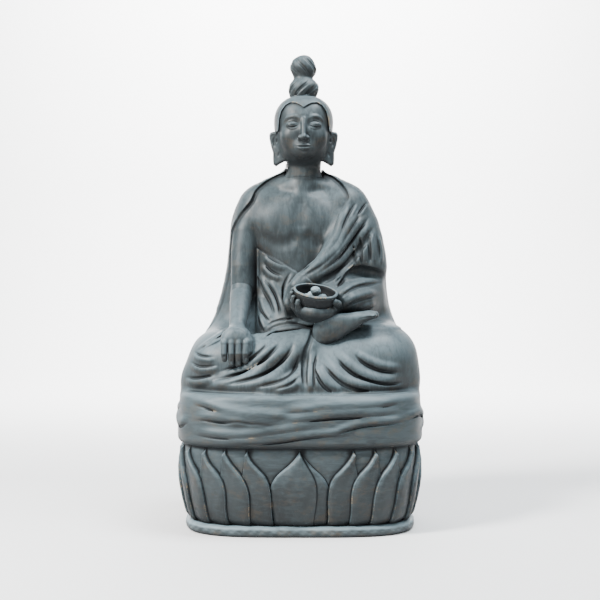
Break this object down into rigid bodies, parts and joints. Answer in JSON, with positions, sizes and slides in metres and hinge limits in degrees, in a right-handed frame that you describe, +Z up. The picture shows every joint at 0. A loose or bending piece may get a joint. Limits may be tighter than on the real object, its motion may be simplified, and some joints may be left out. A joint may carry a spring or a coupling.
{
  "type": "seated robed statue",
  "caption": "Seated robed figure with a fist over one knee and a bowl in the other hand, on a draped seat and a lotus plinth; hollow painted castings around a steel armature.",
  "frame": {"origin": "on the floor, under the middle of the plinth's outline", "axes": "+Z up; -Y is the way the figure faces; +X is the figure's own left side, the side of the bowl"},
  "size_m": [0.66, 0.514, 1.2805],
  "materials": {
    "aged_paint": "blue-grey painted glass fibre, brushed with a paler dry coat over a brown undertone, satin",
    "armature_steel": "bare mill steel",
    "zinc_fastener": "zinc plated",
    "plywood": "sanded birch plywood",
    "timber_plug": "turned softwood"
  },
  "bodies": {
    "root": {"plinth_rim": "aged_paint", "lotus_base": "aged_paint", "draped_seat": "aged_paint", "lap_shell": "aged_paint", "torso_front": "aged_paint", "robe_back": "aged_paint", "right_upper_arm": "aged_paint", "right_forearm": "aged_paint", "right_hand": "aged_paint", "left_hand": "aged_paint", "right_foot": "aged_paint", "offering_bowl": "aged_paint", "jewel_1": "aged_paint", "jewel_2": "aged_paint", "jewel_3": "aged_paint", "jewel_4": "aged_paint", "jewel_5": "aged_paint", "head": "aged_paint", "hair_knot_lower": "aged_paint", "hair_knot_upper": "aged_paint", "armature_plate": "armature_steel", "armature_post": "armature_steel", "shoulder_bar": "armature_steel", "plate_bolt_1": "zinc_fastener", "plate_bolt_2": "zinc_fastener", "plate_bolt_3": "zinc_fastener", "plate_bolt_4": "zinc_fastener", "board_clip_1": "zinc_fastener", "board_clip_2": "zinc_fastener", "board_clip_3": "zinc_fastener", "board_clip_4": "zinc_fastener", "board_clip_5": "zinc_fastener", "board_clip_6": "zinc_fastener", "board_screw_1": "zinc_fastener", "board_screw_2": "zinc_fastener", "board_screw_3": "zinc_fastener", "board_screw_4": "zinc_fastener", "board_screw_5": "zinc_fastener", "board_screw_6": "zinc_fastener", "knot_rod": "zinc_fastener", "elbow_pin": "zinc_fastener", "wrist_pin": "zinc_fastener", "bowl_pin": "zinc_fastener", "ankle_pin": "zinc_fastener", "floor_board": "plywood", "lotus_bulkhead": "plywood", "seat_bulkhead": "plywood", "neck_plug": "timber_plug"}
  },
  "joints": []
}
